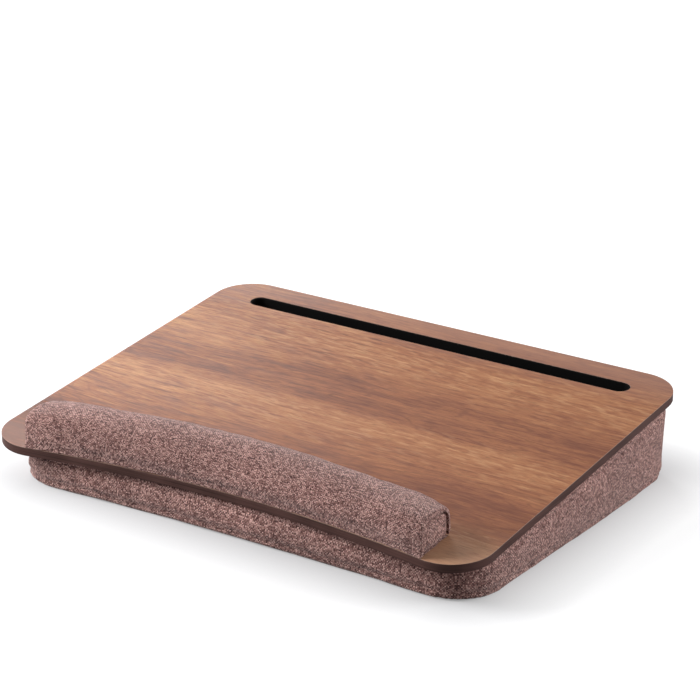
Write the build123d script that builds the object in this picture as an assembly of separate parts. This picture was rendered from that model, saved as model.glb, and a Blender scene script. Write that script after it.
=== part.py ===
from build123d import *

import math
import os

# Lap desk in millimetres: X to the right, Y to the back, Z up, standing on z = 0.
# The board and what is fixed to it are drawn flat, then tilted as one on the wedge cushion.

# Board
board_width = 430.0
board_depth = 360.0
board_corner_radius = 34.0
board_front_radius = 1030.0
board_tilt = 6.4
board_front_height = 34.5
core_thickness = 6.2
top_laminate_thickness = 0.7
back_laminate_thickness = 0.3
edge_band_thickness = 1.0

# Slot for a tablet or phone, and the moulded liner inside it
slot_end_margin = 35.0
slot_width = 18.0
slot_back_margin = 25.0
liner_wall = 1.2
liner_floor = 1.5
liner_depth = 25.0
liner_top_recess = 0.3
liner_clearance = 0.1
liner_flange_width = 6.0
liner_flange_thickness = 1.2
liner_cushion_clearance = 0.6
liner_glue_clearance = 1.0

# Wrist rest
rest_end_margin = 40.0
rest_setback = 0.4
rest_depth_middle = 46.0
rest_depth_end = 42.5
rest_front_shoulder = 29.5
rest_back_shoulder = 27.5
rest_crown_middle = 3.0
rest_crown_end = 1.2
rest_front_radius = 8.0
rest_back_radius = 10.0
rest_wall_bow = 0.8
rest_wall_bow_end = 0.3
rest_pinch_length = 18.0
rest_pinch_side = 1.3
rest_pinch_top = 3.0
rest_fabric = 1.0
rest_tape_thickness = 0.8
rest_base_thickness = 2.0
rest_base_margin = 3.0
rest_tape_margin = 6.0
foam_clearance = 0.3
zip_foam_clearance = 1.0

# Cushion
cushion_left_inset = 14.0
cushion_right_inset = 2.0
cushion_back_inset = 4.0
cushion_front_inset = 13.0
cushion_corner_radius = 40.0
cushion_front_radius = 2500.0
cushion_lower_radius = 7.0
cushion_side_bow = 2.0
cushion_front_bow = 2.0
cushion_fabric = 1.0
cushion_glue_thickness = 0.3
cushion_glue_margin = 14.0

# Zip in the back wall
zip_height = 32.0
zip_end_margin = 17.0
zip_window_height = 10.0
zip_tape_width = 13.0
zip_tape_thickness = 0.6
zip_tape_tail = 9.0
tooth_pitch = 3.0
tooth_length = 1.3
tooth_reach = 2.6
tooth_overlap = 0.9
tooth_thickness = 1.4
stop_length = 2.4
stop_thickness = 1.6
stop_gap_left = 0.2
stop_gap_right = 0.4
stop_room = 1.0
slider_length = 9.6
slider_plate = 1.0
slider_lip = 1.1
slider_side_gap = 0.35
slider_gap = 0.2
slider_corner = 1.8
slider_end_gap = 0.5
bail_width = 1.6
bail_bar = 0.9
bail_half_length = 2.8
bail_room = 0.1
pull_thickness = 1.0
pull_length = 26.0
pull_width = 6.4
pull_rail = 1.0
pull_window_half = 1.3
pull_window_length = 3.6
pull_gap = 0.15
pull_hole_radius = 1.4
pull_hole_margin = 3.4
pull_tip_flat = 0.8
pull_root_radius = 1.0
pull_root = 0.5

# Sizes worked out from the ones above
board_thickness = back_laminate_thickness + core_thickness + top_laminate_thickness
tilt = math.radians(board_tilt)
board_shift_y = board_thickness * math.sin(tilt) / 2
board_origin_height = (
    board_front_height + board_depth / 2 * math.sin(tilt) - board_thickness * math.cos(tilt)
)
board_half_run = board_depth / 2 * math.cos(tilt)
cushion_back = board_shift_y + board_half_run - cushion_back_inset
cushion_front_tip = board_shift_y - board_half_run + cushion_front_inset
cushion_half = (board_width - cushion_left_inset - cushion_right_inset) / 2
cushion_shift = (cushion_left_inset - cushion_right_inset) / 2
cushion_flat_half = cushion_half - cushion_corner_radius
zip_length = 2 * (cushion_flat_half - zip_end_margin)
slot_length = board_width - 2 * slot_end_margin
slot_y = board_depth / 2 - slot_back_margin - slot_width / 2
far = 1000.0
over = 1.0
wall_overrun = 15.0


def to_row(shape):
    """Put a shape drawn on the flat board, underside at z = 0, in its tilted place."""
    return Pos(0, board_shift_y, board_origin_height) * Rot(board_tilt, 0, 0) * shape


def block(x0, x1, y0, y1, z0, z1):
    """A box given by its lowest and highest corners."""
    return Pos((x0 + x1) / 2, (y0 + y1) / 2, (z0 + z1) / 2) * Box(x1 - x0, y1 - y0, z1 - z0)


def board_layer(z0, z1):
    """The slab between two levels of the flat board, tilted."""
    return to_row(block(-far, far, -far, far, z0, z1))


def front_edge(half, tip, corner, radius):
    """Centres of the hollow front arc and of the corner arcs that run into it."""
    corner_y = tip + corner
    hollow_y = corner_y - math.sqrt((radius + corner) ** 2 - (half - corner) ** 2)
    return corner_y, hollow_y


def outline(half, back, tip, corner, radius, inset=0.0, z=0.0, side_bow=0.0, front_bow=0.0):
    """A rounded rectangle with a hollow front edge, drawn in by inset, its sides bowed out."""
    corner_y, hollow_y = front_edge(half, tip, corner, radius)
    corner_x = half - corner
    reach = corner - inset
    side = half - inset
    top = back - inset
    hollow = radius + inset
    lean = math.atan2(corner_x, corner_y - hollow_y)
    meet_x = hollow * math.sin(lean)
    meet_y = hollow_y + hollow * math.cos(lean)
    turn = (math.pi / 2 + lean) / 2
    bend_x = corner_x + reach * math.cos(turn)
    bend_y = corner_y - reach * math.sin(turn)
    diagonal = reach * math.sqrt(0.5)
    back_y = back - corner
    middle_y = (back_y + corner_y) / 2
    front_y = hollow_y + hollow - front_bow

    def arc(a, b, c):
        return Edge.make_three_point_arc((*a, z), (*b, z), (*c, z))

    def straight(a, b):
        return Edge.make_line((*a, z), (*b, z))

    def flank(sign):
        if side_bow > 0:
            return arc((sign * side, back_y), (sign * (side + side_bow), middle_y), (sign * side, corner_y))
        return straight((sign * side, back_y), (sign * side, corner_y))

    edges = [
        straight((-corner_x, top), (corner_x, top)),
        arc((corner_x, top), (corner_x + diagonal, back_y + diagonal), (side, back_y)),
        flank(1),
        arc((side, corner_y), (bend_x, bend_y), (meet_x, meet_y)),
        arc((meet_x, meet_y), (0, front_y), (-meet_x, meet_y)),
        arc((-meet_x, meet_y), (-bend_x, bend_y), (-side, corner_y)),
        flank(-1),
        arc((-side, back_y), (-corner_x - diagonal, back_y + diagonal), (-corner_x, top)),
    ]
    return Face(Wire(edges))


def board_sheet(z0, z1, inset):
    """One flat layer of the board."""
    face = outline(
        board_width / 2, board_depth / 2, -board_depth / 2, board_corner_radius,
        board_front_radius, inset, z0,
    )
    return extrude(face, z1 - z0, dir=(0, 0, 1))


def slot_prism(z0, z1, grow=0.0):
    """The slot's round-ended shape between two levels, larger all round by grow."""
    face = SlotOverall(slot_length + 2 * grow, slot_width + 2 * grow)
    return extrude(Pos(0, slot_y, z0) * face, z1 - z0, dir=(0, 0, 1))


# Levels of the board's layers, counted from its underside
core_bottom = back_laminate_thickness
core_top = core_bottom + core_thickness
flange_grow = liner_flange_width - liner_clearance


def make_board_core():
    core = board_sheet(core_bottom, core_top, edge_band_thickness)
    core -= slot_prism(core_bottom - over, core_top + over)
    return core - slot_prism(core_bottom - over, liner_flange_thickness, liner_flange_width)


def make_board_edge_band():
    inside = board_sheet(-over, core_top + over, edge_band_thickness)
    return board_sheet(0, core_top, 0) - inside


def make_board_top_laminate():
    sheet = board_sheet(core_top, board_thickness, 0)
    return sheet - slot_prism(core_top - over, board_thickness + over)


def make_board_back_laminate():
    sheet = board_sheet(0, core_bottom, edge_band_thickness)
    return sheet - slot_prism(-over, core_bottom + over, liner_flange_width)


def make_slot_liner():
    inside_floor = board_thickness - liner_depth
    top = board_thickness - liner_top_recess
    body = slot_prism(inside_floor - liner_floor, top, -liner_clearance)
    body += slot_prism(0, liner_flange_thickness, flange_grow)
    return body - slot_prism(inside_floor, board_thickness + over, -liner_clearance - liner_wall)


# Wrist rest
rest_half = board_width / 2 - rest_end_margin
rest_hollow_y = front_edge(
    board_width / 2, -board_depth / 2, board_corner_radius, board_front_radius
)[1]


def rest_front(x):
    """Where the wrist rest's front face stands: just behind the board's hollow edge."""
    return rest_hollow_y + math.sqrt(board_front_radius**2 - x**2) + rest_setback


def rest_section(x, inset=0.0, bottom=0.0):
    """The wrist rest's section at x: near-upright sides, round shoulders and a crowned top."""
    share = (x / rest_half) ** 2
    near_end = max(0.0, abs(x) - (rest_half - rest_pinch_length)) / rest_pinch_length
    pinch = near_end**2
    front = rest_front(x) + inset + rest_pinch_side * pinch
    depth = rest_depth_middle + (rest_depth_end - rest_depth_middle) * share
    back = front + depth - 2 * inset - 2 * rest_pinch_side * pinch
    front_top = rest_front_shoulder - inset - rest_pinch_top * pinch
    back_top = rest_back_shoulder - inset - rest_pinch_top * pinch
    crown = rest_crown_middle + (rest_crown_end - rest_crown_middle) * share
    r_front = rest_front_radius - inset
    r_back = rest_back_radius - inset
    bow = rest_wall_bow + (rest_wall_bow_end - rest_wall_bow) * pinch
    cut = math.sqrt(0.5)

    def point(y, z):
        return (x, y, z + board_thickness)

    def arc(a, b, c):
        return Edge.make_three_point_arc(point(*a), point(*b), point(*c))

    front_low = (front, bottom)
    front_high = (front, front_top - r_front)
    front_over = (front + r_front, front_top)
    back_over = (back - r_back, back_top)
    back_high = (back, back_top - r_back)
    back_low = (back, bottom)
    front_mid = (front - bow, (bottom + front_top - r_front) / 2)
    front_bend = (front + r_front * (1 - cut), front_top - r_front * (1 - cut))
    top_mid = ((front + back) / 2, (front_top + back_top) / 2 + crown)
    back_bend = (back - r_back * (1 - cut), back_top - r_back * (1 - cut))
    back_mid = (back + bow, (bottom + back_top - r_back) / 2)
    edges = [
        Edge.make_line(point(*back_low), point(*front_low)),
        arc(front_low, front_mid, front_high),
        arc(front_high, front_bend, front_over),
        arc(front_over, top_mid, back_over),
        arc(back_over, back_bend, back_high),
        arc(back_high, back_mid, back_low),
    ]
    return Face(Wire(edges))


def rest_form(inset=0.0, bottom=0.0):
    """The whole padded bar, drawn in by inset, with its underside at bottom."""
    shoulder = rest_half - rest_pinch_length
    stations = [-rest_half, -rest_half + rest_pinch_length / 2, -shoulder, -shoulder / 2, 0]
    stations += [-x for x in reversed(stations[:-1])]
    return loft([rest_section(x, inset, bottom) for x in stations])


def rest_slab(half):
    """The space within half of the middle, lengthwise."""
    return block(-half, half, -far, far, -far, far)


def rest_strip(margin, z0, z1):
    """A flat strip below the foam, inside the cover by margin all round."""
    half = rest_half - margin
    front_end = rest_front(half) + margin
    front_middle = rest_front(0) + margin
    back_end = rest_front(half) + rest_depth_end - margin
    back_middle = rest_front(0) + rest_depth_middle - margin
    z = board_thickness + z0
    edges = [
        Edge.make_three_point_arc((-half, front_end, z), (0, front_middle, z), (half, front_end, z)),
        Edge.make_line((half, front_end, z), (half, back_end, z)),
        Edge.make_three_point_arc((half, back_end, z), (0, back_middle, z), (-half, back_end, z)),
        Edge.make_line((-half, back_end, z), (-half, front_end, z)),
    ]
    return extrude(Face(Wire(edges)), z1 - z0, dir=(0, 0, 1))


base_top = rest_tape_thickness + rest_base_thickness


def make_rest_cover():
    shell = rest_form() - rest_form(rest_fabric, -over)
    return shell & rest_slab(rest_half - rest_fabric)


def make_rest_end(side):
    end = block(rest_half - rest_fabric, far, -far, far, -far, far)
    if side < 0:
        end = block(-far, -rest_half + rest_fabric, -far, far, -far, far)
    return rest_form() & end


def make_rest_foam():
    foam = rest_form(rest_fabric + foam_clearance, base_top)
    return foam & rest_slab(rest_half - rest_fabric - foam_clearance)


def make_rest_base():
    return rest_strip(rest_fabric + rest_base_margin, rest_tape_thickness, base_top)


def make_rest_adhesive():
    return rest_strip(rest_fabric + rest_tape_margin, 0, rest_tape_thickness)


# Cushion
underside_front = board_origin_height - board_depth / 2 * math.sin(tilt)
underside_middle = board_origin_height
underside_back = board_origin_height + board_depth / 2 * math.sin(tilt)
panel_top = -cushion_glue_thickness
panel_bottom = panel_top - cushion_fabric


def bow_at(z, wall, most):
    """How far a wall of this height stands out at level z."""
    share = min(max(z / wall, 0.0), 1.0)
    return 4 * most * share * (1 - share)


def cushion_outline(z, inset):
    return Pos(cushion_shift, 0, 0) * outline(
        cushion_half, cushion_back, cushion_front_tip, cushion_corner_radius,
        cushion_front_radius, inset, z,
        bow_at(z, underside_middle, cushion_side_bow),
        bow_at(z, underside_front, cushion_front_bow),
    )


def cushion_lower(inset=0.0):
    """The rounded edge at the floor, up to the seam."""
    radius = cushion_lower_radius
    sections = []
    for degrees in (0, 30, 60, 90):
        angle = math.radians(degrees)
        z = radius - (radius - inset) * math.cos(angle)
        sections.append(cushion_outline(z, radius - (radius - inset) * math.sin(angle)))
    return loft(sections)


def cushion_walls(inset=0.0):
    """The walls above the seam, taller than the wedge, before the board's plane cuts them."""
    low = cushion_lower_radius
    high = underside_back + wall_overrun
    steps = 6
    levels = [low + (high - low) * i / steps for i in range(steps + 1)]
    return loft([cushion_outline(z, inset) for z in levels])


def below_board(level):
    return board_layer(level - far, level)


def liner_room(grow):
    """The space that the liner takes below the board, with clearance."""
    floor = board_thickness - liner_depth - liner_floor
    return to_row(slot_prism(floor - grow, over, grow - liner_clearance))


def make_cushion_adhesive():
    face = cushion_outline(cushion_lower_radius, cushion_glue_margin)
    sheet = extrude(face, underside_back + wall_overrun, dir=(0, 0, 1)) & board_layer(panel_top, 0)
    return sheet - liner_room(liner_flange_width + liner_glue_clearance)


def make_cushion_top_panel():
    panel = cushion_walls() & board_layer(panel_bottom, panel_top)
    return panel - liner_room(liner_cushion_clearance)


def cushion_wall_shell():
    shell = cushion_walls() & below_board(panel_bottom)
    return shell - cushion_walls(cushion_fabric)


def back_wall_room():
    """The flat stretch of the back wall, between the two corner seams."""
    return block(
        cushion_shift - cushion_flat_half, cushion_shift + cushion_flat_half,
        cushion_back - cushion_fabric - over, cushion_back + over, 0, far,
    )


def zip_window():
    """The gap between the two back panels that shows the zip."""
    half = zip_length / 2 + stop_length + stop_room
    rise = zip_window_height / 2
    return block(
        cushion_shift - half, cushion_shift + half,
        cushion_back - cushion_fabric - over, cushion_back + over,
        zip_height - rise, zip_height + rise,
    )


def make_cushion_side_band():
    return cushion_wall_shell() - back_wall_room()


def make_cushion_back(upper):
    wall = (cushion_wall_shell() & back_wall_room()) - zip_window()
    if upper:
        return wall & block(-far, far, -far, far, zip_height, far)
    return wall & block(-far, far, -far, far, 0, zip_height)


def make_cushion_bottom_panel():
    return cushion_lower() - cushion_lower(cushion_fabric)


def make_cushion_foam():
    inset = cushion_fabric + foam_clearance
    foam = (cushion_walls(inset) & below_board(panel_bottom)) + cushion_lower(inset)
    foam -= liner_room(liner_cushion_clearance)
    half = zip_length / 2 + zip_tape_tail + zip_foam_clearance
    rise = tooth_overlap + zip_tape_width + zip_foam_clearance
    behind = cushion_back - cushion_fabric - zip_tape_thickness - foam_clearance
    return foam - block(
        cushion_shift - half, cushion_shift + half, behind, far,
        zip_height - rise, zip_height + rise,
    )


# Zip
tape_face = cushion_back - cushion_fabric
teeth_face = tape_face + tooth_thickness
tooth_count = int(zip_length / tooth_pitch)
teeth_start = cushion_shift - (tooth_count - 0.5) * tooth_pitch / 2
plate_low = teeth_face + slider_gap
plate_high = plate_low + slider_plate
slider_half_width = tooth_reach + slider_side_gap + slider_lip
slider_rest_x = cushion_shift + zip_length / 2 - slider_length / 2 - slider_end_gap
slider_travel = zip_length - slider_length - 2 * slider_end_gap
pivot_y = plate_high + pull_gap + pull_thickness / 2
bail_under = pivot_y + pull_thickness / 2 + bail_room
bail_over = bail_under + bail_bar


def make_zip_tape(side):
    """One woven tape, from just beside the middle line of the zip outwards."""
    half = zip_length / 2 + zip_tape_tail
    near = zip_height + side * tooth_overlap
    away = zip_height + side * (tooth_overlap + zip_tape_width)
    return block(
        cushion_shift - half, cushion_shift + half,
        tape_face - zip_tape_thickness, tape_face, min(near, away), max(near, away),
    )


def make_zip_teeth(side):
    """One row of teeth, each across the middle line, between two of the other row."""
    near = zip_height - side * tooth_overlap
    away = zip_height + side * tooth_reach
    lag = 0.0 if side > 0 else tooth_pitch / 2
    teeth = []
    for i in range(tooth_count):
        x = teeth_start + i * tooth_pitch + lag
        tooth = block(
            x - tooth_length / 2, x + tooth_length / 2,
            tape_face, teeth_face, min(near, away), max(near, away),
        )
        teeth.append(tooth)
    return teeth


def make_zip_end_stops():
    """One stop across both tapes at the left, and one on each tape at the right."""
    left = cushion_shift - zip_length / 2 - stop_gap_left
    right = cushion_shift + zip_length / 2 + stop_gap_right
    high = tape_face + stop_thickness
    low_z = zip_height - tooth_reach
    stops = [block(left - stop_length, left, tape_face, high, low_z, zip_height + tooth_reach)]
    for side in (-1, 1):
        near = zip_height + side * tooth_overlap
        away = zip_height + side * (tooth_reach + tooth_overlap)
        stops.append(
            block(right, right + stop_length, tape_face, high, min(near, away), max(near, away))
        )
    return stops


def make_zip_slider():
    """The slider's outer plate with its two lips round the teeth, and the bail for the pull."""
    x = slider_rest_x
    half = slider_length / 2
    width = slider_half_width
    plate = block(x - half, x + half, plate_low, plate_high, zip_height - width, zip_height + width)
    plate = fillet(plate.edges().filter_by(Axis.Y), slider_corner)
    solid = plate
    for side in (-1, 1):
        near = zip_height + side * (width - slider_lip)
        away = zip_height + side * width
        lip = block(
            x - half + slider_corner, x + half - slider_corner, tape_face + slider_gap, plate_low,
            min(near, away), max(near, away),
        )
        solid += lip
    side_z = bail_width / 2
    arch = block(
        x - bail_half_length, x + bail_half_length, plate_high, bail_over,
        zip_height - side_z, zip_height + side_z,
    )
    arch = fillet(arch.edges().filter_by(Axis.Z).sort_by(Axis.Y)[-2:], bail_bar)
    arch -= block(
        x - bail_half_length + bail_bar, x + bail_half_length - bail_bar, plate_high, bail_under,
        zip_height - side_z - over, zip_height + side_z + over,
    )
    return solid + arch


def make_zip_pull():
    """A flat tab with a window round the bail, hung on a crossbar, and a hole at its tip."""
    x = slider_rest_x
    low = pivot_y - pull_thickness / 2
    high = pivot_y + pull_thickness / 2
    rail_out = pull_window_half + pull_rail
    bar = Pos(x, pivot_y, zip_height) * Cylinder(pull_thickness / 2, 2 * rail_out)
    root = x - pull_window_length - pull_root
    frame = block(root, x, low, high, zip_height - rail_out, zip_height + rail_out)
    frame -= block(
        x - pull_window_length, x + over, low - over, high + over,
        zip_height - pull_window_half, zip_height + pull_window_half,
    )
    half = pull_width / 2
    tab = block(
        x - pull_length, x - pull_window_length, low, high, zip_height - half, zip_height + half
    )
    tip_radius = half - pull_tip_flat / 2
    tab = fillet(tab.edges().filter_by(Axis.Y).sort_by(Axis.X)[:2], tip_radius)
    tab = fillet(tab.edges().filter_by(Axis.Y).sort_by(Axis.X)[-2:], pull_root_radius)
    hole = Pos(x - pull_length + pull_hole_margin, pivot_y, zip_height) * Rot(90, 0, 0)
    tab -= hole * Cylinder(pull_hole_radius, pull_thickness + 2 * over)
    return bar + frame + tab


nodes = {
    "board_core": to_row(make_board_core()),
    "board_edge_band": to_row(make_board_edge_band()),
    "board_top_laminate": to_row(make_board_top_laminate()),
    "board_back_laminate": to_row(make_board_back_laminate()),
    "slot_liner": to_row(make_slot_liner()),
    "wrist_rest_adhesive": to_row(make_rest_adhesive()),
    "wrist_rest_base": to_row(make_rest_base()),
    "wrist_rest_foam": to_row(make_rest_foam()),
    "wrist_rest_cover": to_row(make_rest_cover()),
    "wrist_rest_left_end": to_row(make_rest_end(-1)),
    "wrist_rest_right_end": to_row(make_rest_end(1)),
    "cushion_adhesive": make_cushion_adhesive(),
    "cushion_top_panel": make_cushion_top_panel(),
    "cushion_side_band": make_cushion_side_band(),
    "cushion_back_upper": make_cushion_back(True),
    "cushion_back_lower": make_cushion_back(False),
    "cushion_bottom_panel": make_cushion_bottom_panel(),
    "cushion_foam": make_cushion_foam(),
    "zip_tape_upper": make_zip_tape(1),
    "zip_tape_lower": make_zip_tape(-1),
    "zip_teeth_upper": make_zip_teeth(1),
    "zip_teeth_lower": make_zip_teeth(-1),
    "zip_end_stops": make_zip_end_stops(),
    "zip_slider": make_zip_slider(),
    "zip_pull": make_zip_pull(),
}

os.makedirs("parts", exist_ok=True)
for name, shape in nodes.items():
    solids = []
    for piece in shape if isinstance(shape, list) else [shape]:
        solids += piece.solids()
    export_step(solids[0] if len(solids) == 1 else Compound(solids), f"parts/{name}.step")

print("slider rests at x =", round(slider_rest_x, 3), "and travels", round(slider_travel, 3))
print("pull pivot:", round(slider_rest_x, 3), round(pivot_y, 3), zip_height)
print("slot floor and mouth:", round(board_thickness - liner_depth, 3), round(board_thickness, 3))
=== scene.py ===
"""Looks for the lap desk: board, wrist rest, wedge cushion and zip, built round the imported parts."""

import math

import bpy
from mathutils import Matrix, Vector, noise


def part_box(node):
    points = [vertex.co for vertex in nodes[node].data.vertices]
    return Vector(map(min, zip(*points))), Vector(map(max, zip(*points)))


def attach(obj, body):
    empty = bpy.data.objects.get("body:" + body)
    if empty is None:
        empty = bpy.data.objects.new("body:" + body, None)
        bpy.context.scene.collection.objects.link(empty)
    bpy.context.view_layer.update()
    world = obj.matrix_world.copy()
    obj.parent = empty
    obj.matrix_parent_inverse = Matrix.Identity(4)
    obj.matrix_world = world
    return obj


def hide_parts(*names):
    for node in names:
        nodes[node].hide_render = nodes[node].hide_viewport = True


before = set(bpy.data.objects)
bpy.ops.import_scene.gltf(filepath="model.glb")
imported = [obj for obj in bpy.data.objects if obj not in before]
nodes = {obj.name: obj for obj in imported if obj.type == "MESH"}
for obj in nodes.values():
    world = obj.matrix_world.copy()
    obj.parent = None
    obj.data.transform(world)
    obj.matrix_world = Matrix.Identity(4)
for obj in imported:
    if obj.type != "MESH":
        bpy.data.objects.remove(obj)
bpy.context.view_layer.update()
scene = bpy.context.scene
MM = 0.001

# The desk's own sizes, in millimetres
TILT = math.radians(6.4)
BOARD_THICKNESS = 7.2
BOARD_HALF_WIDTH = 215
BOARD_HALF_DEPTH = 180
BOARD_CORNER = 34
BOARD_FRONT_HEIGHT = 34.5
HOLLOW_RADIUS = 1030
CUSHION_X = 6
CUSHION_HALF = 207
CUSHION_BACK = 175.28
CUSHION_FRONT = -165.48
CUSHION_CORNER = 40
CUSHION_SEAM = 7
SLOT_Y = 146
SLOT_HALF_WIDTH = 9
TROUGH_HALF_WIDTH = 8.9
TROUGH_HALF_LENGTH = 179.9
TROUGH_DROP = 19.3
FLANGE_HALF_LENGTH = 186
REST_HALF = 175
REST_HEIGHT = 29
REST_DEPTH = 46
REST_NARROWING = 3.5
REST_SETBACK = 0.4
ZIP_Z = 32
ZIP_HALF = 153.4
STITCH_PITCH = 3.2
STITCH_HALF_LENGTH = 1.25
STITCH_HALF_WIDTH = 0.42

# Worked out from them: the tilted board's place, and the way its top faces
BOARD_SHIFT_Y = BOARD_THICKNESS * math.sin(TILT) / 2
BOARD_HEIGHT = (
    BOARD_FRONT_HEIGHT + BOARD_HALF_DEPTH * math.sin(TILT) - BOARD_THICKNESS * math.cos(TILT)
)
UPWARD = (0, -math.sin(TILT), math.cos(TILT))


def to_board(x, y, z):
    """A point of the row frame as seen from the flat board, its underside at zero."""
    y = y - BOARD_SHIFT_Y
    z = z - BOARD_HEIGHT
    return (
        x,
        y * math.cos(TILT) + z * math.sin(TILT),
        z * math.cos(TILT) - y * math.sin(TILT),
    )


def from_board(x, y, z):
    """A point of the flat board in its tilted place."""
    return Vector((
        x,
        y * math.cos(TILT) - z * math.sin(TILT) + BOARD_SHIFT_Y,
        y * math.sin(TILT) + z * math.cos(TILT) + BOARD_HEIGHT,
    ))


def above_board(x, y, z):
    """Height of a point of the row frame above the board's top."""
    return to_board(x, y, z)[2] - BOARD_THICKNESS


def underside(y):
    """Height of the board's underside above the floor."""
    return BOARD_HEIGHT + (y - BOARD_SHIFT_Y) * math.tan(TILT)


def ease(value, low, high):
    """0 at low, 1 at high, smooth between."""
    share = min(max((value - low) / (high - low), 0.0), 1.0)
    return share * share * (3 - 2 * share)


def bell(value, width):
    return math.exp(-((value / width) ** 2))


def wander(x, y, z=0.0):
    """Smooth noise from -1 to 1."""
    return noise.noise(Vector((x, y, z)))


# Modelling by hand


def clear_selection():
    if bpy.context.mode != "OBJECT":
        bpy.ops.object.mode_set(mode="OBJECT")
    bpy.ops.object.select_all(action="DESELECT")


def take(piece):
    """Select one piece alone and make it active."""
    clear_selection()
    piece.select_set(True)
    bpy.context.view_layer.objects.active = piece


def apply_all(piece):
    """Apply every modifier of the piece."""
    take(piece)
    for modifier in list(piece.modifiers):
        bpy.ops.object.modifier_apply(modifier=modifier.name)


def copy_nodes(name, *sources):
    """A new piece from the meshes of CAD nodes, with their loose triangles merged."""
    clear_selection()
    copies = []
    for source in sources:
        piece = bpy.data.objects.new(name, nodes[source].data.copy())
        scene.collection.objects.link(piece)
        piece.data.materials.clear()
        copies.append(piece)
        piece.select_set(True)
    bpy.context.view_layer.objects.active = copies[0]
    if len(copies) > 1:
        bpy.ops.object.join()
    piece = copies[0]
    piece.name = name
    piece.data.name = name
    bpy.ops.object.mode_set(mode="EDIT")
    bpy.ops.mesh.select_all(action="SELECT")
    bpy.ops.mesh.remove_doubles(threshold=2e-6)
    bpy.ops.object.mode_set(mode="OBJECT")
    return piece


def bevelled_copy(name, width, segments, *sources):
    """A copy of CAD nodes with its sharp edges rounded."""
    piece = copy_nodes(name, *sources)
    bpy.ops.object.mode_set(mode="EDIT")
    bpy.ops.mesh.dissolve_limited(angle_limit=math.radians(0.6))
    bpy.ops.object.mode_set(mode="OBJECT")
    bevel = piece.modifiers.new("bevel", "BEVEL")
    bevel.width = width * MM
    bevel.segments = segments
    bevel.limit_method = "ANGLE"
    bevel.angle_limit = math.radians(38)
    bevel.use_clamp_overlap = True
    bevel.harden_normals = True
    apply_all(piece)
    bpy.ops.object.shade_smooth_by_angle(angle=math.radians(32))
    flat = piece.modifiers.new("flat faces", "WEIGHTED_NORMAL")
    flat.keep_sharp = True
    apply_all(piece)
    return piece


def carve(piece, cutter):
    """Cut the cutter's shape out of the piece, and delete the cutter."""
    cut = piece.modifiers.new("cut", "BOOLEAN")
    cut.operation = "DIFFERENCE"
    cut.solver = "EXACT"
    cut.object = cutter
    apply_all(piece)
    bpy.data.objects.remove(cutter)


def remesh_evenly(piece, voxel):
    """Give the piece an even mesh of small squares."""
    remesh = piece.modifiers.new("remesh", "REMESH")
    remesh.mode = "VOXEL"
    remesh.voxel_size = voxel * MM
    apply_all(piece)


def finish_piece(piece, material, body, slot, *replaced):
    """Give a new piece its material and its body, and hide the CAD nodes that it stands for."""
    piece.data.materials.clear()
    piece.data.materials.append(material)
    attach(piece, body)
    if replaced:
        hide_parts(*replaced)
    return piece


# Materials

# Outputs of the Texture Coordinate node
NORMAL = 1
CLOTH_PLACE = 2
OBJECT_PLACE = 3


class Value:
    """A socket in a material. Sums written with it become Math nodes."""

    def __init__(self, finish, socket):
        self.finish = finish
        self.socket = socket

    def maths(self, operation, *others):
        return self.finish.maths(operation, self, *others)

    def __add__(self, other):
        return self.maths("ADD", other)

    def __sub__(self, other):
        return self.maths("SUBTRACT", other)

    def __rsub__(self, other):
        return self.finish.maths("SUBTRACT", other, self)

    def __mul__(self, other):
        return self.maths("MULTIPLY", other)

    def __pow__(self, other):
        return self.maths("POWER", other)

    __radd__ = __add__
    __rmul__ = __mul__


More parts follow.
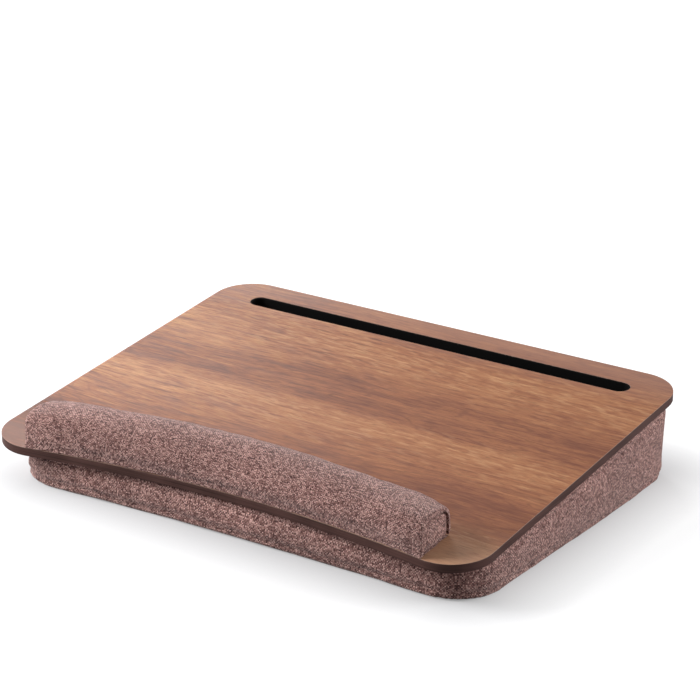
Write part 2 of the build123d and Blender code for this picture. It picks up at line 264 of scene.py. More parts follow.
class Finish:
    """One material: its Principled shader and the nodes that feed it."""

    def __init__(self, name, **plain):
        self.material = bpy.data.materials.new(name)
        self.material.use_nodes = True
        self.tree = self.material.node_tree
        self.shader = self.tree.nodes["Principled BSDF"]
        for socket, value in plain.items():
            self.shader.inputs[socket.replace("_", " ")].default_value = value

    def node(self, kind, settings=None, inputs=None, output=0):
        """Add a node: its settings first, then the values and links of its sockets."""
        node = self.tree.nodes.new(kind)
        for key, value in (settings or {}).items():
            if key == "stops":
                ramp = node.color_ramp.elements
                while len(ramp) < len(value):
                    ramp.new(1.0)
                for element, (place, colour) in zip(ramp, value):
                    element.position = place
                    element.color = (*colour, 1)
            else:
                setattr(node, key, value)
        for key, value in (inputs or {}).items():
            self.put(node.inputs[key], value)
        return Value(self, node.outputs[output])

    def put(self, socket, value):
        if isinstance(value, Value):
            self.tree.links.new(value.socket, socket)
        else:
            socket.default_value = value

    def feed(self, **sockets):
        """Link values to the shader's own sockets."""
        for socket, value in sockets.items():
            self.put(self.shader.inputs[socket.replace("_", " ")], value)

    def maths(self, operation, *values):
        return self.node("ShaderNodeMath", {"operation": operation}, dict(enumerate(values)))

    def place(self, scale=(1, 1, 1), output=OBJECT_PLACE):
        """Coordinates of the piece in metres times scale."""
        source = self.node("ShaderNodeTexCoord", output=output)
        return self.node("ShaderNodeMapping", None, {"Vector": source, "Scale": scale})

    def split(self, vector):
        node = self.tree.nodes.new("ShaderNodeSeparateXYZ")
        self.put(node.inputs[0], vector)
        return [Value(self, socket) for socket in node.outputs]

    def vector(self, x=0.0, y=0.0, z=0.0):
        return self.node("ShaderNodeCombineXYZ", None, {"X": x, "Y": y, "Z": z})

    def cloud(self, vector, detail=2.0, roughness=0.5, distortion=0.0):
        """Smooth noise from 0 to 1."""
        inputs = {
            "Vector": vector, "Scale": 1.0, "Detail": detail,
            "Roughness": roughness, "Distortion": distortion,
        }
        return self.node("ShaderNodeTexNoise", None, inputs)

    def stretch(self, value, low, high, to_low=0.0, to_high=1.0):
        """Spread the values from low to high over a new range, clamped."""
        inputs = {0: value, 1: low, 2: high, 3: to_low, 4: to_high}
        return self.node("ShaderNodeMapRange", {"clamp": True}, inputs)

    def mix(self, first, second, share):
        """Colour from first to second by share."""
        first = first if isinstance(first, Value) else (*first, 1)
        second = second if isinstance(second, Value) else (*second, 1)
        return self.node("ShaderNodeMix", {"data_type": "RGBA"}, {0: share, 6: first, 7: second}, 2)

    def choose(self, first, second, share):
        """Number from first to second by share."""
        return self.node("ShaderNodeMix", {"data_type": "FLOAT"}, {0: share, 2: first, 3: second})

    def shade(self, colour, amount):
        """Colour made darker or lighter by amount."""
        grey = self.vector(amount, amount, amount)
        settings = {"data_type": "RGBA", "blend_type": "MULTIPLY"}
        return self.node("ShaderNodeMix", settings, {0: 1.0, 6: colour, 7: grey}, 2)

    def ramp(self, value, stops):
        return self.node("ShaderNodeValToRGB", {"stops": stops}, {0: value})

    def bump(self, height, depth, strength=1.0):
        """Relief of that depth in millimetres where height goes from 0 to 1."""
        inputs = {"Height": height, "Distance": depth * MM, "Strength": strength}
        return self.node("ShaderNodeBump", None, inputs)


def make_linen(name, dark, mid, light, pitch=1.15):
    """Heathered plain weave on the piece's own UV, which is in metres along the cloth."""
    cloth = Finish(name, Sheen_Weight=0.22, Sheen_Roughness=0.45, Specular_IOR_Level=0.12)
    per_metre = 1000 / pitch
    along, across, _ = cloth.split(cloth.place((per_metre, per_metre, 1), CLOTH_PLACE))
    drift = cloth.cloud(cloth.place((45, 45, 45)), 1.0)
    uneven = cloth.cloud(cloth.vector(along * 0.6, across * 0.6, 2.0), 1.0)
    uneven_too = cloth.cloud(cloth.vector(along * 0.6, across * 0.6, 7.0), 1.0)
    along = along + drift * 3.0 + uneven * 0.7
    across = across + drift * 2.2 + uneven_too * 0.7
    warp = along.maths("FLOOR")
    weft = across.maths("FLOOR")
    in_warp = (along.maths("FRACT") - 0.5).maths("ABSOLUTE") * 2.0
    in_weft = (across.maths("FRACT") - 0.5).maths("ABSOLUTE") * 2.0
    over = (warp + weft).maths("FLOORED_MODULO", 2.0)
    warp_tone = cloth.cloud(cloth.vector(warp * 7.31, across * 0.31, 1.0), 2.0, 0.7) - 0.05
    weft_tone = cloth.cloud(cloth.vector(along * 0.27, weft * 6.13, 9.0), 2.0, 0.7) + 0.05
    cell = cloth.vector(warp, weft)
    fleck = cloth.node("ShaderNodeTexWhiteNoise", {"noise_dimensions": "2D"}, {"Vector": cell})
    clump = cloth.cloud(cloth.vector(along * 0.45, across * 0.45, 4.0), 2.0, 0.6)
    thread_tone = (cloth.choose(warp_tone, weft_tone, over) - 0.5) * 1.9
    tone = thread_tone + (fleck - 0.5) * 0.3 + (clump - 0.5) * 0.3 + 0.5
    colour = cloth.ramp(tone, [(0.24, dark), (0.5, mid), (0.78, light)])
    warp_relief = (1 - in_warp ** 2.0) * (1 - in_weft ** 4.0 * 0.35)
    weft_relief = (1 - in_weft ** 2.0) * (1 - in_warp ** 4.0 * 0.35)
    relief = cloth.choose(warp_relief, weft_relief, over)
    patches = cloth.cloud(cloth.place((22, 22, 22)), 3.0, 0.6)
    # Painted shade: each thread darker towards its edges and in the gaps between threads; the patches
    # are random tone
    shade = cloth.stretch(relief, 0.0, 0.8, 0.5, 1.16) * cloth.stretch(patches, 0.3, 0.7, 0.88, 1.12)
    cloth.feed(
        Base_Color=cloth.shade(colour, shade),
        Roughness=cloth.stretch(patches, 0.3, 0.7, 0.82, 0.95),
        Normal=cloth.bump(relief + patches * 0.4, 0.4, 0.9),
    )
    return cloth.material


def make_walnut():
    """Printed walnut along the board's width: zones, streaks, ring lines, golden ripples and pores, with
    painted shade, painted sheen and a painted highlight on the rim.
    """
    wood = Finish("walnut laminate", Specular_IOR_Level=0.05)
    bend = wood.cloud(wood.place((2.8, 6.0, 1.0)), 2.0)
    x, y, _ = wood.split(wood.place())
    y = y + (bend - 0.5) * 0.03
    # Tone zones across the board's depth; the dark band across the front is partly wood tone and partly
    # painted shade
    zone = wood.ramp(
        wood.stretch(y, -0.18, 0.18),
        [
            (0.04, (0.58, 0.58, 0.58)),
            (0.12, (0.48, 0.48, 0.48)),
            (0.21, (0.27, 0.27, 0.27)),
            (0.36, (0.48, 0.48, 0.48)),
            (0.46, (0.58, 0.58, 0.58)),
            (0.53, (0.36, 0.36, 0.36)),
            (0.69, (0.49, 0.49, 0.49)),
            (0.78, (0.57, 0.57, 0.57)),
            (0.95, (0.43, 0.43, 0.43)),
        ],
    )
    broad = wood.cloud(wood.vector(x * 3.0, y * 14.0, 2.0), 2.0, 0.5, 0.6)
    bands = wood.cloud(wood.vector(x * 8.0, y * 60.0, 5.0), 3.0, 0.6, 0.6)
    streaks = wood.cloud(wood.vector(x * 18.0, y * 230.0, 8.0), 3.0, 0.6)
    hairs = wood.cloud(wood.vector(x * 60.0, y * 520.0, 3.0), 2.0, 0.6)
    # Painted shade and painted light: the front band is made darker towards the left and lighter towards
    # the right
    zone = zone + wood.stretch(x, -0.2, 0.15, -0.26, 0.22) * wood.stretch(y, -0.15, -0.09, 1.0, 0.0)
    lively = wood.stretch(x, -0.16, 0.02, 1.4, 0.75) * wood.stretch(y, -0.12, -0.06, 0.5, 1.0)
    fine = (streaks - 0.5) * lively + (hairs - 0.5) * lively * 0.9
    figure = (broad - 0.5) * 0.5 + (bands - 0.5) * 0.5 + fine
    colour = wood.ramp(
        zone + figure,
        [
            (0.10, (0.115, 0.041, 0.026)),
            (0.32, (0.195, 0.074, 0.042)),
            (0.50, (0.285, 0.116, 0.058)),
            (0.66, (0.365, 0.165, 0.080)),
            (0.88, (0.500, 0.275, 0.145)),
        ],
    )
    ripple = wood.cloud(wood.vector(x * 60.0 + y * 80.0, y * 240.0, 6.0), 1.0, 0.5)
    ripple = wood.stretch(ripple, 0.52, 0.66) * wood.stretch(zone, 0.42, 0.58)
    colour = wood.mix(colour, (0.56, 0.31, 0.16), ripple * 0.45)
    rings = wood.cloud(wood.vector(x * 5.0, y * 26.0, 21.0), 1.0, 0.5, 0.3)
    ring = ((rings * 15.0).maths("FRACT") - 0.5).maths("ABSOLUTE")
    ring = wood.stretch(ring, 0.02, 0.11, 1.0, 0.0) * wood.stretch(streaks, 0.40, 0.56)
    ring = ring * wood.stretch(zone, 0.36, 0.52, 1.0, 0.15)
    colour = wood.mix(colour, (0.115, 0.045, 0.032), ring * 0.6)
    ticks = wood.cloud(wood.vector(x * 120.0, y * 1700.0, 14.0), 2.0, 0.6)
    colour = wood.mix(colour, (0.090, 0.036, 0.025), wood.stretch(ticks, 0.57, 0.66) * 0.45)
    pore = wood.stretch(hairs, 0.56, 0.68) * wood.stretch(streaks, 0.40, 0.6, 0.2, 0.9)
    colour = wood.mix(colour, (0.085, 0.034, 0.024), pore * 0.6)
    # Painted sheen: the back band and the front band washed towards a pale grey-pink
    colour = wood.mix(colour, (0.330, 0.195, 0.155), wood.stretch(y, 0.12, 0.17, 0.0, 0.45))
    colour = wood.mix(colour, (0.300, 0.185, 0.150), wood.stretch(y, -0.16, -0.11, 0.4, 0.0))
    # Painted highlight: where the sheet's rim turns down from the top it is lighter; the steep sides are
    # darker
    facing = wood.node("ShaderNodeTexCoord", output=NORMAL)
    lean = wood.node("ShaderNodeVectorMath", {"operation": "DOT_PRODUCT"}, {0: facing, 1: UPWARD}, 1)
    colour = wood.mix(colour, (0.50, 0.35, 0.29), wood.stretch(lean, 0.7, 0.97, 0.7, 0.0))
    colour = wood.mix(colour, (0.100, 0.052, 0.042), wood.stretch(lean, 0.3, 0.6, 0.9, 0.0))
    wood.feed(
        Base_Color=colour,
        Roughness=wood.stretch(streaks, 0.3, 0.7, 0.36, 0.48) + pore * 0.15,
        Normal=wood.bump(1 - pore * 0.7 - streaks * 0.3, 0.06, 0.6),
    )
    return wood.material


def make_plain(name, colour, roughness, grain, depth, contrast=0.15, **plain):
    """Plastic, paint, film or board: one colour with fine mottling, uneven gloss and a little relief."""
    skin = Finish(name, **plain)
    fine = skin.cloud(skin.place((grain, grain, grain)), 3.0, 0.6)
    wide = skin.cloud(skin.place((30, 30, 30)), 2.0)
    amount = skin.stretch(fine, 0.3, 0.7, 1 - contrast, 1 + contrast)
    amount = amount * skin.stretch(wide, 0.3, 0.7, 0.94, 1.06)
    tint = skin.vector(*colour)
    skin.feed(
        Base_Color=skin.shade(tint, amount),
        Roughness=skin.stretch(wide, 0.3, 0.7, roughness - 0.06, roughness + 0.06),
        Normal=skin.bump(fine, depth, 0.5),
    )
    return skin.material


def make_edge():
    """The edging strip: dark brown plastic with a faint printed grain along it."""
    strip = Finish("edging", Specular_IOR_Level=0.12)
    grain = strip.cloud(strip.place((14, 14, 900)), 3.0, 0.6)
    wide = strip.cloud(strip.place((35, 35, 35)), 2.0)
    dust = strip.cloud(strip.place((1400, 1400, 1400)), 2.0)
    tone = grain * 0.6 + wide * 0.4
    strip.feed(
        Base_Color=strip.ramp(tone, [(0.35, (0.038, 0.018, 0.015)), (0.65, (0.088, 0.043, 0.037))]),
        Roughness=strip.stretch(dust, 0.3, 0.7, 0.42, 0.55),
        Normal=strip.bump(grain * 0.6 + dust * 0.4, 0.05, 0.5),
    )
    return strip.material


def make_tape():
    """Zip tape: close herringbone ribs along the zip."""
    tape = Finish("zip tape", Specular_IOR_Level=0.2, Sheen_Weight=0.15)
    x, _, z = tape.split(tape.place())
    lean = (z * 700.0).maths("FLOORED_MODULO", 2.0).maths("SUBTRACT", 1.0).maths("ABSOLUTE")
    ribs = ((x * 1600.0 + lean * 1.2) * math.pi).maths("SINE") * 0.5 + 0.5
    colour = tape.ramp(ribs, [(0.1, (0.020, 0.012, 0.010)), (0.9, (0.060, 0.038, 0.032))])
    tape.feed(
        Base_Color=colour,
        Roughness=tape.stretch(ribs, 0.0, 1.0, 0.95, 0.8),
        Normal=tape.bump(ribs, 0.12, 0.7),
    )
    return tape.material


def make_metal():
    """Dark plated metal, brighter where a hand has worn it."""
    metal = Finish("zip metal", Metallic=0.85, Specular_IOR_Level=0.5)
    wear = metal.cloud(metal.place((260, 260, 260)), 4.0, 0.7)
    plating = [
        (0.35, (0.075, 0.060, 0.054)),
        (0.62, (0.16, 0.13, 0.12)),
        (0.8, (0.42, 0.37, 0.33)),
    ]
    metal.feed(
        Base_Color=metal.ramp(wear, plating),
        Roughness=metal.stretch(wear, 0.3, 0.8, 0.42, 0.25),
        Normal=metal.bump(wear, 0.03, 0.4),
    )
    return metal.material


linen = make_linen(
    "linen weave",
    dark=(0.075, 0.031, 0.028),
    mid=(0.250, 0.122, 0.107),
    light=(0.600, 0.370, 0.325),
)
walnut = make_walnut()
edging = make_edge()
black_plastic = make_plain(
    "black plastic", (0.003, 0.0028, 0.0028), 0.7, 900, 0.06, 0.2, Specular_IOR_Level=0.04
)
fibreboard = make_plain("fibreboard", (0.36, 0.25, 0.16), 0.85, 700, 0.15, 0.3)
balance_sheet = make_plain("balance sheet", (0.085, 0.055, 0.042), 0.6, 500, 0.05, 0.2)
glue_film = make_plain("glue film", (0.62, 0.58, 0.48), 0.35, 250, 0.08, 0.1)
zip_tape = make_tape()
zip_plastic = make_plain("zip teeth plastic", (0.050, 0.032, 0.027), 0.35, 600, 0.02, 0.15)
zip_metal = make_metal()
thread = make_plain("stitching thread", (0.36, 0.22, 0.19), 0.8, 2500, 0.1, 0.3)

# CAD nodes that keep their own mesh
for name, material in {
    "board_core": fibreboard,
    "board_back_laminate": balance_sheet,
    "cushion_adhesive": glue_film,
    "wrist_rest_adhesive": glue_film,
    "wrist_rest_base": fibreboard,
    "zip_tape_upper": zip_tape,
    "zip_tape_lower": zip_tape,
}.items():
    nodes[name].data.materials.clear()
    nodes[name].data.materials.append(material)

# Board
laminate = bevelled_copy("laminate_sheet", 0.35, 2, "board_top_laminate")
finish_piece(laminate, walnut, "desk", "walnut_laminate", "board_top_laminate")
edge_strip = bevelled_copy("edging_strip", 0.3, 2, "board_edge_band")
finish_piece(edge_strip, edging, "desk", "edge_band", "board_edge_band")
trough = bevelled_copy("slot_trough", 0.35, 2, "slot_liner")
finish_piece(trough, black_plastic, "desk", "black_plastic", "slot_liner")

# Zip
for name, source, width in (
    ("upper_teeth", "zip_teeth_upper", 0.3),
    ("lower_teeth", "zip_teeth_lower", 0.3),
):
    teeth = bevelled_copy(name, width, 1, source)
    finish_piece(teeth, zip_plastic, "desk", "zip_teeth", source)
end_stops = bevelled_copy("end_stops", 0.35, 2, "zip_end_stops")
finish_piece(end_stops, zip_metal, "desk", "zip_metal", "zip_end_stops")
slider = bevelled_copy("slider_body", 0.25, 2, "zip_slider")
finish_piece(slider, zip_metal, "slider", "zip_metal", "zip_slider")
pull = bevelled_copy("pull_tab", 0.22, 2, "zip_pull")
finish_piece(pull, zip_metal, "pull", "zip_metal", "zip_pull")


# Padded pieces


def stuffed_shape(name, voxel, shrink, *sources):
    """One closed shape round the CAD nodes, remeshed evenly and drawn in a little."""
    piece = copy_nodes(name, *sources)
    remesh_evenly(piece, voxel)
    bpy.ops.object.mode_set(mode="EDIT")
    bpy.ops.mesh.select_all(action="SELECT")
    bpy.ops.transform.shrink_fatten(value=-shrink * MM)
    bpy.ops.mesh.vertices_smooth(factor=0.5, repeat=2)
    bpy.ops.object.mode_set(mode="OBJECT")
    return piece


def swell(piece, held, reach, frames=20):
    """Fill the cover with pressure. held gives how firmly a point stays, reach how far it may move."""
    take(piece)
    points = piece.data.vertices
    start = [point.co.copy() for point in points]
    group = piece.vertex_groups.new(name="held")
    for point in points:
        group.add([point.index], held(*(point.co / MM)), "REPLACE")
    cloth = piece.modifiers.new("filling", "CLOTH")
    cloth.settings.use_pressure = True
    cloth.settings.uniform_pressure_force = 4.0
    cloth.settings.vertex_group_mass = "held"
    cloth.settings.effector_weights.gravity = 0.0
    cloth.collision_settings.use_collision = False
    cloth.point_cache.frame_start = 1
    cloth.point_cache.frame_end = frames
    for step in range(1, frames + 1):
        scene.frame_set(step)
    bpy.ops.object.modifier_apply(modifier=cloth.name)
    scene.frame_set(1)
    moved = 0.0
    for point, before in zip(points, start):
        most = reach(*(before / MM)) * MM
        step = point.co - before
        moved = max(moved, step.length)
        if step.length > most:
            point.co = before + step * (most / step.length)
    print(piece.name, "moved", round(moved / MM, 2), "mm before the cap;", len(points), "points")
    piece.vertex_groups.clear()


def soften(piece, levels=1):
    """Subdivide and shade the cover smooth."""
    finer = piece.modifiers.new("finer", "SUBSURF")
    finer.levels = levels
    finer.render_levels = levels
    apply_all(piece)
    bpy.ops.object.shade_smooth()


def shape_points(piece, move):
    """Move each point by what move(point, normal) says, all in millimetres."""
    mesh = piece.data
    places = [point.co / MM for point in mesh.vertices]
    normals = [point.normal.copy() for point in mesh.vertices]
    for point, place, normal in zip(mesh.vertices, places, normals):
        point.co = move(place, normal) * MM
    mesh.update()


def lay_cloth(piece, chart):
    """UV in metres along the cloth, from chart(point, face normal) in millimetres."""
    mesh = piece.data
    while mesh.uv_layers:
        mesh.uv_layers.remove(mesh.uv_layers[0])
    layer = mesh.uv_layers.new(name="cloth")
    for face in mesh.polygons:
        for corner in face.loop_indices:
            place = mesh.vertices[mesh.loops[corner].vertex_index].co / MM
            along, across = chart(place, face.normal, face.center)
            layer.data[corner].uv = (along * MM, across * MM)


def round_outline(x, y):
    """Distance along the cushion's outline from the middle of its front, to the right."""
    inner_x = CUSHION_HALF - CUSHION_CORNER
    inner_back = CUSHION_BACK - CUSHION_CORNER
    inner_front = CUSHION_FRONT + CUSHION_CORNER
    x -= CUSHION_X
    side = 1 if x >= 0 else -1
    x = abs(x)
    near_x = min(x, inner_x)
    near_y = min(max(y, inner_front), inner_back)
    angle = math.atan2(x - near_x, near_y - y)
    length = CUSHION_CORNER * angle + near_y - inner_front
    length += inner_x if near_y > inner_front else near_x
    if y > inner_back:
        length += inner_x - near_x
    return side * length


def near_zip(x, z):
    """1 at the zip's window, falling to 0 at 30 mm from it."""
    beside = max(abs(x - CUSHION_X) - ZIP_HALF, 0.0)
    above = max(abs(z - ZIP_Z) - 7, 0.0)
    return 1 - ease(math.hypot(beside, above), 3, 30)


def in_trough(x, y, z, room):
    """True in the pocket that the slot's trough fills."""
    bx, by, bz = to_board(x, y, z)
    near = abs(by - SLOT_Y) < SLOT_HALF_WIDTH + room and abs(bx) < FLANGE_HALF_LENGTH + room
    return near and bz > -TROUGH_DROP - room


# Cushion
def cushion_hold(x, y, z):
    below = underside(y) - z
    if below < 2.5 or in_trough(x, y, z, 9):
        return 1.0
    firm = max(1 - ease(below, 2.5, 9), 1 - ease(z, 0.8, 3.5))
    if y > CUSHION_BACK - 4:
        firm = max(firm, near_zip(x, z))
    return firm


def cushion_reach(x, y, z):
    below = underside(y) - z
    most = 4.2 * ease(below, 1.0, 12)
    if y > CUSHION_BACK - 6:
        most = min(most, 0.8 + 3 * (1 - near_zip(x, z)))
    return most


def cushion_form(place, normal):
    x, y, z = place
    level = abs(normal.z)
    wall = 1 - ease(level, 0.55, 0.9)
    around = round_outline(x, y)
    flat = Vector((normal.x, normal.y, 0))
    flat = flat.normalized() if flat.length > 0.05 else flat
    top = underside(y) - 0.3
    zipped = near_zip(x, z) if y > CUSHION_BACK - 8 else 0.0
    free = wall * (1 - zipped)
    seam = CUSHION_SEAM + 0.7 * wander(around / 38, 3.0)
    from_seam = z - seam
    out = -1.5 * bell(from_seam, 1.5) + 0.55 * bell(abs(from_seam) - 3.6, 1.9)
    out += 0.5 * wander(around / 5.5, 7.0) * bell(from_seam, 5.0)
    from_top = top - z
    out += -1.3 * bell(from_top - 5.2, 1.3) + 0.5 * bell(from_top - 2.6, 1.8)
    out += 0.35 * wander(around / 7.0, 11.0) * bell(from_top - 5.2, 5.0)
    out *= 1 - 0.6 * zipped
    out += free * 1.0 * wander(around / 46, z / 34, 5.0)
    right = ease(normal.x, 0.6, 0.95) * bell(y - 45, 75) * (1 - 0.5 * ease(z, 5, 45))
    out += 2.6 * right
    out += free * 0.5 * wander(around / 17, z / 26, 2.0)
    corner_seam = abs(abs(x - CUSHION_X) - (CUSHION_HALF - CUSHION_CORNER))
    if y > CUSHION_BACK - 6:
        out += -1.2 * bell(corner_seam, 1.5) + 0.4 * bell(corner_seam - 3.4, 1.8)
    place = place + flat * out * wall
    place.z -= 2.4 * (1 - ease(z, 0, 13))
    if normal.z < -0.6 and z < 6:
        place.z += 0.25 * (1 + wander(x / 60, y / 60, 4.0))
    place.z = min(max(place.z, 0.15), underside(place.y) - 0.35)
    return place


def cushion_chart(place, normal, centre):
    if abs(normal.z) > 0.75:
        return place.x, place.y
    along = round_outline(place.x, place.y)
    if centre.y > 0.1 and (place.x - CUSHION_X) * (centre.x - CUSHION_X * MM) < 0:
        along = -along
    return along, place.z


CUSHION_NODES = (
    "cushion_top_panel", "cushion_side_band", "cushion_back_upper",
    "cushion_back_lower", "cushion_bottom_panel", "cushion_foam",
)
cushion = stuffed_shape("cushion_cover", 4.0, -0.6, *CUSHION_NODES)
swell(cushion, cushion_hold, cushion_reach)
soften(cushion)
shape_points(cushion, cushion_form)

# Recess in the back wall for the zip, and the pocket that the slot's trough fills
zip_recess = (2 * ZIP_HALF + 2, 10, 13)
trough_pocket = (2 * TROUGH_HALF_LENGTH + 1, 2 * TROUGH_HALF_WIDTH + 1, TROUGH_DROP + 4)
pocket_middle = from_board(0, SLOT_Y, 1.7 - TROUGH_DROP / 2)
for size, middle, turn in (
    (zip_recess, Vector((CUSHION_X, CUSHION_BACK + 2, ZIP_Z)), 0),
    (trough_pocket, pocket_middle, TILT),
):
    clear_selection()
    bpy.ops.mesh.primitive_cube_add(size=1, location=middle * MM, rotation=(turn, 0, 0))
    cutter = bpy.context.object
    cutter.scale = [side * MM for side in size]
    bpy.ops.object.transform_apply(location=True, rotation=True, scale=True)
    carve(cushion, cutter)
lay_cloth(cushion, cushion_chart)
finish_piece(cushion, linen, "desk", "linen_weave", *CUSHION_NODES)


# Folded cloth edge round the zip, and the rows of stitches that hold the tapes
def make_zip_edge():
    """A flat frame of folded cloth, open in the middle, its edges rolled."""
    clear_selection()
    bpy.ops.mesh.primitive_plane_add(
        size=1,
        location=Vector((CUSHION_X, CUSHION_BACK + 0.9, ZIP_Z)) * MM,
        rotation=(math.radians(90), 0, math.pi),
    )
    edge = bpy.context.object
    edge.name = "zip_edge"
    edge.scale = (2 * (ZIP_HALF + 6) * MM, 22 * MM, 1)
    bpy.ops.object.transform_apply(location=True, rotation=True, scale=True)
    bpy.ops.object.mode_set(mode="EDIT")
    bpy.ops.mesh.select_all(action="SELECT")
    bpy.ops.mesh.inset(thickness=6.2 * MM)
    bpy.ops.mesh.delete(type="FACE")
    bpy.ops.mesh.select_all(action="SELECT")
    bpy.ops.mesh.subdivide(number_cuts=1)
    bpy.ops.object.mode_set(mode="OBJECT")
    thick = edge.modifiers.new("thick", "SOLIDIFY")
    thick.thickness = 1.3 * MM
    thick.offset = 0
    roll = edge.modifiers.new("roll", "BEVEL")
    roll.width = 0.55 * MM
    roll.segments = 3
    apply_all(edge)
    bpy.ops.object.shade_smooth_by_angle(angle=math.radians(50))
    return edge


def row_of_stitches(name, start, count, direction):
    """Small round stitches, from start, along x or z."""
    clear_selection()
    step = Vector((STITCH_PITCH, 0, 0))
    size = (STITCH_HALF_LENGTH, STITCH_HALF_WIDTH, STITCH_HALF_WIDTH)
    if direction == "z":
        step = step.zyx
        size = size[::-1]
    bpy.ops.mesh.primitive_uv_sphere_add(segments=8, ring_count=5, radius=MM, location=start)
    row = bpy.context.object
    row.name = name
    row.scale = size
    bpy.ops.object.transform_apply(location=True, rotation=True, scale=True)
    repeat = row.modifiers.new("repeat", "ARRAY")
    repeat.count = count
    repeat.use_relative_offset = False
    repeat.use_constant_offset = True
    repeat.constant_offset_displace = step * MM
    apply_all(row)
    bpy.ops.object.shade_smooth()
    return row


zip_edge = make_zip_edge()
lay_cloth(zip_edge, lambda place, normal, centre: (place.x, place.z))
finish_piece(zip_edge, linen, "desk", "linen_weave")
rows = []
for label, height in (("upper", 8.2), ("lower", -8.2)):
    start = Vector((CUSHION_X - 155.2, CUSHION_BACK + 1.6, ZIP_Z + height)) * MM
    rows.append(row_of_stitches("stitches_" + label, start, 98, "x"))
# The end rows lie lower, so that the pull passes over them
for label, side in (("left", -1), ("right", 1)):
    start = Vector((CUSHION_X + side * 156.8, CUSHION_BACK + 1.25, ZIP_Z - 2 * STITCH_PITCH)) * MM
    rows.append(row_of_stitches("stitches_" + label, start, 5, "z"))
take(rows[0])
for row in rows:
    row.select_set(True)
bpy.ops.object.join()
stitches = rows[0]
stitches.name = "zip_stitches"
finish_piece(stitches, thread, "desk", "linen_weave")


# Wrist rest
def rest_front(x):
    """Where the wrist rest's front stands on the flat board."""
    corner_y = BOARD_CORNER - BOARD_HALF_DEPTH
    reach = math.sqrt((HOLLOW_RADIUS + BOARD_CORNER) ** 2 - (BOARD_HALF_WIDTH - BOARD_CORNER) ** 2)
    return corner_y - reach + math.sqrt(HOLLOW_RADIUS**2 - x * x) + REST_SETBACK


def rest_back(x):
    """Where its back stands. The rest is narrower at its ends."""
    return rest_front(x) + REST_DEPTH - REST_NARROWING * (x / REST_HALF) ** 2


def rest_hold(x, y, z):
    return 1 - ease(above_board(x, y, z), 1.5, 6)


def rest_reach(x, y, z):
    return 2.6 * ease(above_board(x, y, z), 0.5, 8)


def rest_shape(place, normal):
    x, y, z = to_board(*place)
    up = normal.z * math.cos(TILT) - normal.y * math.sin(TILT)
    back = normal.y * math.cos(TILT) + normal.z * math.sin(TILT)
    height = z - BOARD_THICKNESS
    side = 1 if x > 0 else -1
    reach = abs(x) + 2.5 * ease(abs(x), REST_HALF - 10, REST_HALF)
    if reach > REST_HALF:
        reach = REST_HALF + 0.12 * (reach - REST_HALF)
    x = side * reach
    from_end = REST_HALF - reach
    wall = 1 - ease(abs(normal.x), 0.5, 0.9)
    out = 0.55 * wander(x / 42, y / 30, z / 30) - 0.4 * bell(from_end - 7, 3.0)
    out += 0.32 * wander(x / 12, y / 40 + 8, z / 16) * ease(height, 2, 9)
    out *= wall
    y += back * out
    z += max(up, 0) * out
    behind = y - rest_front(x)
    if behind < 7:
        y -= 0.95 * (behind + 0.8) * (1 - ease(height, 1.0, 7.5)) * (1 - ease(behind, 2.0, 7.0))
    if z < BOARD_THICKNESS + 0.3:
        z = BOARD_THICKNESS + 0.3 + 0.1 * (z - BOARD_THICKNESS - 0.3)
    return from_board(x, y, z)


def rest_end(name, node, inset, inner, outer):
    """The outline of an end panel, drawn in by inset, from inner to outer along the rest."""
    piece = copy_nodes(name, node)
    low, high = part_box(node)
    middle = (low + high) / 2
    side = 1 if middle.x > 0 else -1
    bpy.ops.object.mode_set(mode="EDIT")
    bpy.ops.mesh.select_all(action="SELECT")
    size = (high - low) / MM
    narrow = 1 - 2 * inset / size.y
    lower = 1 - 2 * inset / size.z
    length = (outer - inner) / size.x
    bpy.ops.transform.resize(value=(length, narrow, lower), center_override=middle)
    shift = side * (inner + outer) / 2 * MM - middle.x
    bpy.ops.transform.translate(value=(shift, 0, -0.4 * inset * MM))
    bpy.ops.object.mode_set(mode="OBJECT")
    return piece


def puff_end(place, normal):
    """The end panel stands out a little in its middle and rolls in at its seam."""
    x, y, z = to_board(*place)
    edge = min(y - rest_front(x), rest_back(x) - y, REST_HEIGHT - 2 - (z - BOARD_THICKNESS))
    low = ease(z - BOARD_THICKNESS, 1.0, 7.0)
    side = 1 if x > 0 else -1
    if normal.x * side < 0.2:
        return place
    return place + Vector((side * (1.5 * ease(edge, 2.5, 12) * low + 0.25 * wander(y / 9, z / 9)), 0, 0))


def rest_chart(place, normal, centre):
    x, y, z = to_board(*place)
    height = z - BOARD_THICKNESS
    if abs(normal.x) > 0.7:
        return y, height
    run = y - rest_front(x)
    if normal.y > 0.5 or back_of_rest(centre):
        return x, run + 2 * REST_HEIGHT - height
    return x, run + height


def back_of_rest(centre):
    x, y, _ = to_board(*(centre / MM))
    return y > (rest_front(x) + rest_back(x)) / 2


REST_NODES = ("wrist_rest_cover", "wrist_rest_left_end", "wrist_rest_right_end", "wrist_rest_foam")
rest = stuffed_shape("wrist_rest_pad", 2.2, -0.4, *REST_NODES, "wrist_rest_base", "wrist_rest_adhesive")
swell(rest, rest_hold, rest_reach)
soften(rest)
shape_points(rest, rest_shape)

# Sewn ends: a pocket inside the cover's rim, and a puffed panel in it
panels = []
for node in ("wrist_rest_left_end", "wrist_rest_right_end"):
    cutter = rest_end("pocket", node, 1.6, REST_HALF - 2.2, REST_HALF + 4)
    carve(rest, cutter)
    panel = rest_end("end_panel", node, 2.9, REST_HALF - 4, REST_HALF - 0.9)
    remesh_evenly(panel, 0.9)
    bpy.ops.object.shade_smooth()
    shape_points(panel, puff_end)
    panels.append(panel)
take(rest)
for panel in panels:
    panel.select_set(True)
bpy.ops.object.join()
lay_cloth(rest, rest_chart)
finish_piece(rest, linen, "desk", "linen_weave", *REST_NODES)

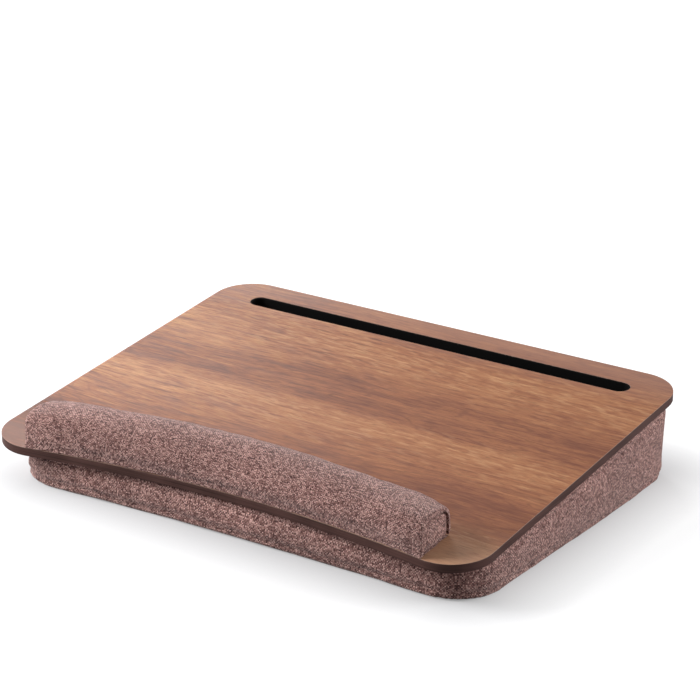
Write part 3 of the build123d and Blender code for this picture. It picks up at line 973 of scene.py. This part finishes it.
# Camera, from the photograph's own viewpoint
camera = bpy.data.objects.new("camera", bpy.data.cameras.new("camera"))
scene.collection.objects.link(camera)
camera.location = (1.009317, -1.721799, 0.795341)
camera.rotation_euler = [math.radians(angle) for angle in (70.8688, -2.689, 31.1945)]
camera.data.lens = 138.857
camera.data.sensor_width = 36
camera.data.clip_end = 50
scene.camera = camera

# Floor, world and lamps
clear_selection()
bpy.ops.mesh.primitive_plane_add(size=14, location=(0, 0, -0.0002))
floor = bpy.context.object
floor.name = "floor"
ground = Finish("floor", Roughness=0.9, Specular_IOR_Level=0.1)
ground.shader.inputs["Base Color"].default_value = (0.36, 0.36, 0.37, 1)
# Distance from the desk's footprint, in metres: the floor's glow to the camera is weaker close to the
# desk, a painted shadow round it
ground_x, ground_y, _ = ground.split(ground.place())
beside = ((ground_x - 0.006).maths("ABSOLUTE") - 0.18).maths("MAXIMUM", 0.0)
before = ((ground_y - 0.005).maths("ABSOLUTE") - 0.15).maths("MAXIMUM", 0.0)
away = (beside * beside + before * before).maths("SQRT")
rays = ground.tree.nodes.new("ShaderNodeLightPath")
seen = Value(ground, rays.outputs["Is Camera Ray"])
# Painted shadow: the glow is weakest near the desk and rises with distance from it
glow_with_painted_shadow = ground.stretch(away, 0.01, 0.08, 0.27, 0.74) + ground.stretch(away, 0.09, 1.6, 0.0, 0.35)
ground.feed(Emission_Color=(1, 1, 1, 1), Emission_Strength=seen * glow_with_painted_shadow)
floor.data.materials.append(ground.material)

world = bpy.data.worlds.new("studio")
scene.world = world
world.use_nodes = True
sky = world.node_tree
back = sky.nodes["Background"]
path = sky.nodes.new("ShaderNodeLightPath")
direct = sky.nodes.new("ShaderNodeMath")
direct.operation = "MAXIMUM"
sky.links.new(path.outputs["Is Camera Ray"], direct.inputs[0])
sky.links.new(path.outputs["Is Glossy Ray"], direct.inputs[1])
level = sky.nodes.new("ShaderNodeMapRange")
level.inputs["To Min"].default_value = 0.22
level.inputs["To Max"].default_value = 1.0
sky.links.new(direct.outputs[0], level.inputs["Value"])
sky.links.new(level.outputs[0], back.inputs["Strength"])
back.inputs["Color"].default_value = (1, 1, 1, 1)


def add_lamp(name, place, size, power):
    """A square softbox that faces the desk."""
    light = bpy.data.lights.new(name, "AREA")
    light.shape = "SQUARE"
    light.size = size
    light.energy = power
    lamp = bpy.data.objects.new(name, light)
    scene.collection.objects.link(lamp)
    lamp.location = place
    lamp.visible_camera = False
    lamp.rotation_euler = (Vector((0, 0, 0.04)) - Vector(place)).to_track_quat("-Z", "Y").to_euler()


add_lamp("left softbox", (-1.15, -0.76, 0.74), 0.8, 37)
add_lamp("right back softbox", (1.9, 1.3, 0.8), 1.2, 52)
add_lamp("back left softbox", (-1.25, 1.20, 0.95), 0.65, 12)
add_lamp("top softbox", (0, 0, 2.3), 1.6, 3)

scene.view_settings.view_transform = "Standard"
